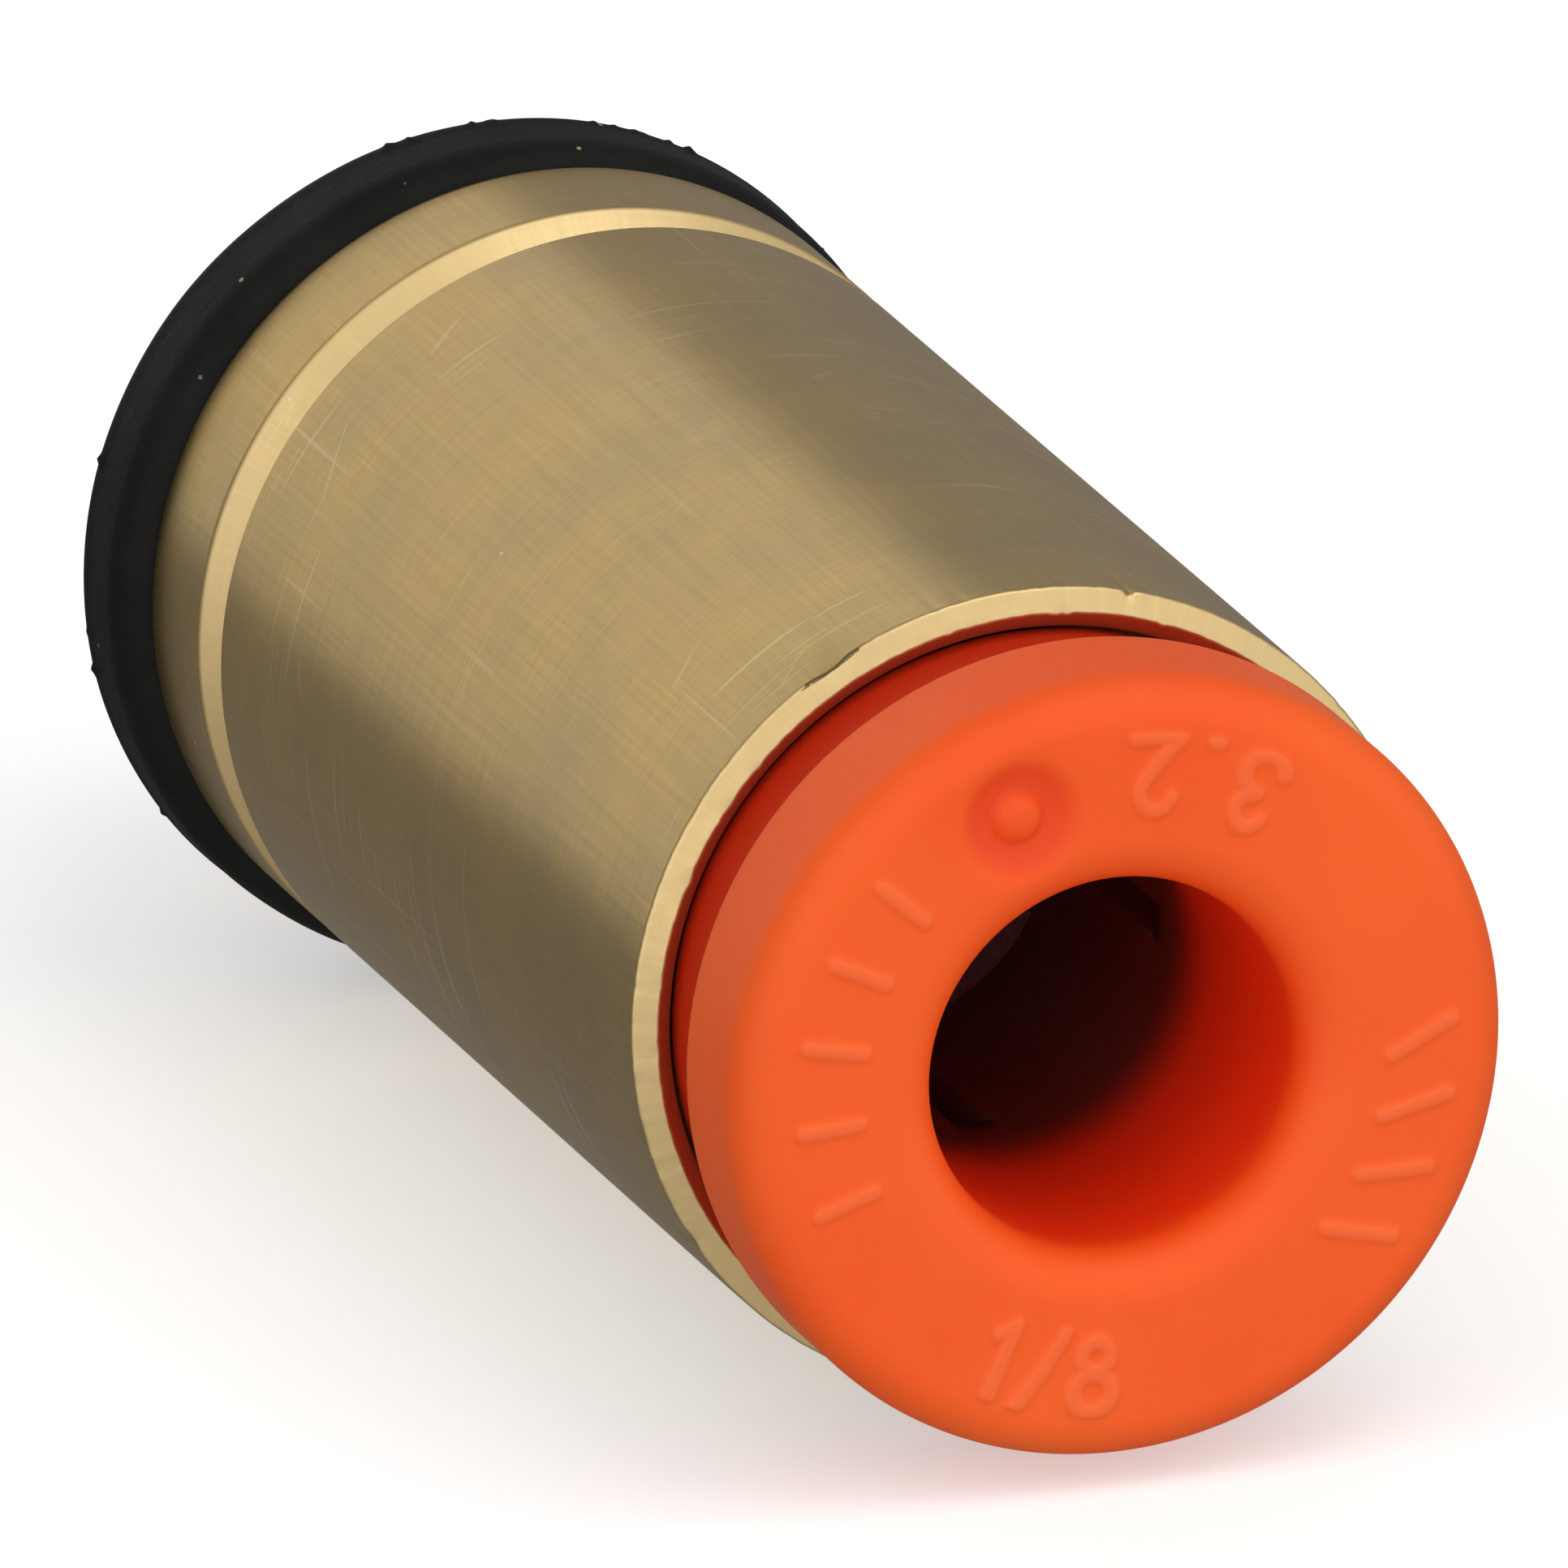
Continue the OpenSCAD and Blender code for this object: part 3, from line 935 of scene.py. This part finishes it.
# Painted shade: deep red in the mouth, deeper red under the head, and near black inside the body.
ORANGE_MOUTH_PAINTED_SHADE = (0.92, 0.034, 0.002, 1)
ORANGE_BEHIND_PAINTED_SHADE = (0.58, 0.016, 0.002, 1)
ORANGE_INSIDE_PAINTED_SHADE = (0.17, 0.018, 0.009, 1)
MOUTH_SHADE_DEPTH = 0.75
INSIDE_SHADE_DEPTH = 1.2
MARK_HIGHLIGHT_SHARE = 0.35


def smooth_height(n, y, start, end):
    """0 above one height in millimetres, rising smoothly to 1 below the other."""
    return n.add(
        "ShaderNodeMapRange", {"Value": y, "From Min": -start * MM, "From Max": -end * MM},
        interpolation_type="SMOOTHSTEP",
    )


def painted_depth_shade(n, colour):
    """Painted shade in the plastic's colour: deep red in the mouth and behind the head, and dark inside the
    body.
    """
    r, y = axial_parts(n)[2:]
    in_mouth = n.math("LESS_THAN", r, (PORT_R + 0.2) * MM)
    mouth = n.math("MULTIPLY", smooth_height(n, y, FACE_Z, FACE_Z - MOUTH_SHADE_DEPTH), in_mouth)
    colour = n.mix(n.scaled(mouth, 0.95), colour, ORANGE_MOUTH_PAINTED_SHADE)
    # painted shade under the head's overhang, on the collar seen through the gap
    below_head = smooth_height(n, y, HEAD_Z + 0.06, HEAD_Z - 0.06)
    behind = n.math("SUBTRACT", below_head, in_mouth, clamp=True)
    colour = n.mix(n.scaled(behind, 0.9), colour, ORANGE_BEHIND_PAINTED_SHADE)
    return n.mix(smooth_height(n, y, RIM_Z, RIM_Z - INSIDE_SHADE_DEPTH), colour, ORANGE_INSIDE_PAINTED_SHADE)


def pocket_painted_shade(n):
    """Painted shade in the round pocket of the face: 1 in the pocket, less on its raised dot, and 0 outside.
    """
    c, s, r, _ = axial_parts(n)
    across = n.math("SUBTRACT", n.math("MULTIPLY", r, c), DOT_ACROSS * MM)
    up = n.math("SUBTRACT", n.math("MULTIPLY", r, s), DOT_UP * MM)
    dist = length(n, across, up)
    pocket = n.within(dist, 0.56 * MM, 0.40 * MM)
    dot = n.within(dist, 0.26 * MM, 0.18 * MM, 0.7)
    return n.math("SUBTRACT", pocket, dot)


def mark_tops_painted_highlight(n):
    """More than 0 on the raised marks of the face, whose tops are painted a little paler as a painted
    highlight.
    """
    y = axial_parts(n)[3]
    return n.within(y, -(FACE_Z + 0.008) * MM, -(FACE_Z + 0.028) * MM, MARK_HIGHLIGHT_SHARE)


@once
def orange_plastic():
    n = Nodes("acetal_orange")
    cloud = n.noise(n.position(), 350, 2.0)
    colour = n.ramp(cloud, [(0.35, ORANGE), (0.65, ORANGE_PALE)])
    # painted highlight on the raised marks' tops
    colour = n.mix(mark_tops_painted_highlight(n), colour, ORANGE_MARK_PAINTED_HIGHLIGHT)
    # painted shade in the face's pocket
    colour = n.mix(n.scaled(pocket_painted_shade(n), 0.6), colour, ORANGE_POCKET_PAINTED_SHADE)
    # painted shade in the mouth, under the head and inside the body
    colour = painted_depth_shade(n, colour)
    grain = n.noise(n.position(), 9000, 3.0, 0.6)
    wave = n.noise(n.position(), 1200, 2.0)
    height = n.math("ADD", n.scaled(grain, 0.35), wave)
    n.set(
        Base_Color=colour, Roughness=n.spread(grain, 0.44, 0.58), IOR=1.36,
        Normal=n.bump(height, 0.25, 0.004 * MM), Subsurface_Weight=0.35, Subsurface_Scale=0.5 * MM,
        Subsurface_Radius=(1.0, 0.15, 0.04),
    )
    return n.material


LINT = (0.35, 0.35, 0.34, 1)
BRASS_DUST = (0.55, 0.42, 0.18, 1)


@once
def rubber():
    n = Nodes("nitrile_black")
    cloud = n.noise(n.position(), 1400, 4.0, 0.65)
    base = n.ramp(cloud, [(0.3, (0.003, 0.003, 0.003)), (0.7, (0.007, 0.007, 0.0065))])
    pale = specks(n, 4200, 0.09)
    gold = specks(n, 2300, 0.06)
    colour = n.mix(n.scaled(pale, 0.35), base, LINT)
    colour = n.mix(n.scaled(gold, 0.55), colour, BRASS_DUST)
    grain = n.noise(n.position(), 16000, 3.0, 0.7)
    height = n.math("ADD", n.scaled(grain, 0.5), n.scaled(cloud, 1.2))
    n.set(
        Base_Color=colour, Roughness=n.spread(grain, 0.50, 0.72), IOR=1.25,
        Normal=n.bump(height, 0.8, 0.018 * MM),
    )
    return n.material


@once
def clean_rubber():
    """The seal's rubber, which carries no dust."""
    n = Nodes("nitrile_clean")
    grain = n.noise(n.position(), 9000, 3.0, 0.7)
    colour = n.ramp(grain, [(0.3, (0.012, 0.010, 0.009)), (0.7, (0.020, 0.016, 0.014))])
    n.set(Base_Color=colour, Roughness=n.spread(grain, 0.50, 0.72), Normal=n.bump(grain, 0.4, 0.006 * MM))
    return n.material


@once
def spring_steel():
    n = Nodes("stainless_sheet")
    lines = n.noise(turning_lines(n, 14.0, 20000), 1.0, 3.0, 0.6)
    cloud = n.noise(n.position(), 1500, 2.0)
    colour = n.ramp(cloud, [(0.3, (0.50, 0.50, 0.51)), (0.7, (0.62, 0.62, 0.63))])
    n.set(
        Base_Color=colour, Roughness=n.spread(lines, 0.22, 0.34), Metallic=1.0,
        Normal=n.bump(lines, 0.12, 0.001 * MM),
    )
    return n.material


@once
def natural_plastic():
    n = Nodes("acetal_natural")
    cloud = n.noise(n.position(), 700, 2.0)
    colour = n.ramp(cloud, [(0.3, (0.70, 0.67, 0.58)), (0.7, (0.78, 0.76, 0.68))])
    grain = n.noise(n.position(), 9000, 3.0, 0.6)
    n.set(
        Base_Color=colour, Roughness=n.spread(grain, 0.38, 0.52), Subsurface_Weight=0.3,
        Subsurface_Scale=0.5 * MM, Normal=n.bump(grain, 0.2, 0.004 * MM),
    )
    return n.material


@once
def floor_paint():
    n = Nodes("pale_floor")
    cloud = n.noise(n.position(), 40, 2.0)
    colour = n.ramp(cloud, [(0.3, (0.83, 0.83, 0.83)), (0.7, (0.86, 0.86, 0.86))])
    n.set(Base_Color=colour, Roughness=0.9, Emission_Color=(1, 1, 1, 1), Emission_Strength=0.42)
    return n.material


# ---------------------------------------------------------------- scene

VIEW_AZIMUTH = math.radians(-19.783)
VIEW_ELEVATION = math.radians(18.388)
VIEW_WIDTH = 13.349 * MM
AIM_RIGHT = -2.122 * MM
AIM_UP = 1.782 * MM
LENS = 1650.0
SENSOR = 36.0
NEAR_CLIP = 0.1
FAR_CLIP = 100
FLOOR_HALF = 1.2
ROOM_TINT = (1.0, 0.99, 0.975, 1)
# Strengths behind and in front of the object, below and above the horizon.
ROOM_LOW = 0.20
ROOM_HIGH = 0.34
FRONT_LOW = 0.55
FRONT_HIGH = 1.10
# Each softbox: where it stands, how far off, its two sides in metres, and its radiance.
SOFTBOXES = (
    ("behind_top", (-0.24, 0.88, 0.37), 0.14, 0.130, 0.155, 0.43),
    ("overhead", (0.24, -0.33, 0.91), 0.15, 0.100, 0.070, 1.15),
    ("front_left", (-0.70, -0.70, 0.15), 0.20, 0.150, 0.150, 0.35),
)


def make_camera():
    """A long lens at the photograph's angle, aimed beside the centre of the rim."""
    back = Vector((
        math.sin(VIEW_AZIMUTH) * math.cos(VIEW_ELEVATION),
        -math.cos(VIEW_AZIMUTH) * math.cos(VIEW_ELEVATION),
        math.sin(VIEW_ELEVATION),
    ))
    turn = back.to_track_quat("Z", "Y")
    right, up = turn @ Vector((1, 0, 0)), turn @ Vector((0, 1, 0))
    target = Vector((0, -RIM_Z * MM, 0)) + right * AIM_RIGHT + up * AIM_UP
    data = bpy.data.cameras.new("camera")
    data.lens = LENS
    data.sensor_width = SENSOR
    distance = LENS * VIEW_WIDTH / SENSOR
    data.clip_start, data.clip_end = distance * NEAR_CLIP, distance * FAR_CLIP
    camera = bpy.data.objects.new("camera", data)
    camera.rotation_mode = "QUATERNION"
    camera.rotation_quaternion = turn
    camera.location = target + back * distance
    bpy.context.scene.collection.objects.link(camera)
    bpy.context.scene.camera = camera


def make_floor():
    """A pale floor that the gasket's edge rests on. Shiny metal doesn't mirror it."""
    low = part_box("gasket_rubber")[0].z
    corners = [(x * FLOOR_HALF, y * FLOOR_HALF, low) for x, y in ((-1, -1), (1, -1), (1, 1), (-1, 1))]
    mesh = bpy.data.meshes.new("floor")
    mesh.from_pydata(corners, [], [[0, 1, 2, 3]])
    mesh.materials.append(floor_paint())
    floor = bpy.data.objects.new("floor", mesh)
    floor.visible_glossy = False
    floor.visible_diffuse = False
    floor.visible_shadow = False
    bpy.context.scene.collection.objects.link(floor)


def soft_light(name, direction, distance, width, depth, radiance):
    """A rectangular softbox that faces the middle of the object."""
    data = bpy.data.lights.new(name, "AREA")
    data.shape = "RECTANGLE"
    data.size, data.size_y = width, depth
    data.energy = radiance * math.pi * width * depth
    light = bpy.data.objects.new(name, data)
    aim = Vector((0, -RIM_Z * MM / 2, 0))
    way = Vector(direction).normalized()
    light.location = aim + way * distance
    light.rotation_mode = "QUATERNION"
    light.rotation_quaternion = way.to_track_quat("Z", "Y")
    bpy.context.scene.collection.objects.link(light)


def make_world():
    """A soft room: bright in front of the object, and dimmer behind it, most of all below the horizon."""
    world = bpy.data.worlds.new("room")
    world.use_nodes = True
    tree = world.node_tree
    background = tree.nodes["Background"]
    background.inputs["Color"].default_value = ROOM_TINT
    coord = tree.nodes.new("ShaderNodeTexCoord")
    split = tree.nodes.new("ShaderNodeSeparateXYZ")
    tree.links.new(coord.outputs["Generated"], split.inputs[0])
    back = world_range(tree, split.outputs[2], (-0.25, 0.35), (ROOM_LOW, ROOM_HIGH))
    front = world_range(tree, split.outputs[2], (-0.60, 0.10), (FRONT_LOW, FRONT_HIGH))
    ahead = world_range(tree, split.outputs[1], (0.15, -0.40), (0.0, 1.0))
    both = tree.nodes.new("ShaderNodeMix")
    tree.links.new(ahead, both.inputs["Factor"])
    tree.links.new(back, both.inputs["A"])
    tree.links.new(front, both.inputs["B"])
    tree.links.new(both.outputs["Result"], background.inputs["Strength"])
    bpy.context.scene.world = world


def world_range(tree, value, source, target):
    """A smooth ramp between two values of a direction's part."""
    node = tree.nodes.new("ShaderNodeMapRange")
    node.interpolation_type = "SMOOTHSTEP"
    for name, number in zip(("From Min", "From Max", "To Min", "To Max"), source + target):
        node.inputs[name].default_value = number
    tree.links.new(value, node.inputs["Value"])
    return node.outputs[0]


make_camera()
make_world()
for softbox in SOFTBOXES:
    soft_light(*softbox)
make_floor()
make_body()
make_release_bush()
make_gasket()
make_washer()
make_seal()
make_collet()
make_guide()
make_chuck_ring()
for finger in range(1, FINGERS + 1):
    make_finger(finger)

bpy.context.scene.view_settings.view_transform = "Standard"
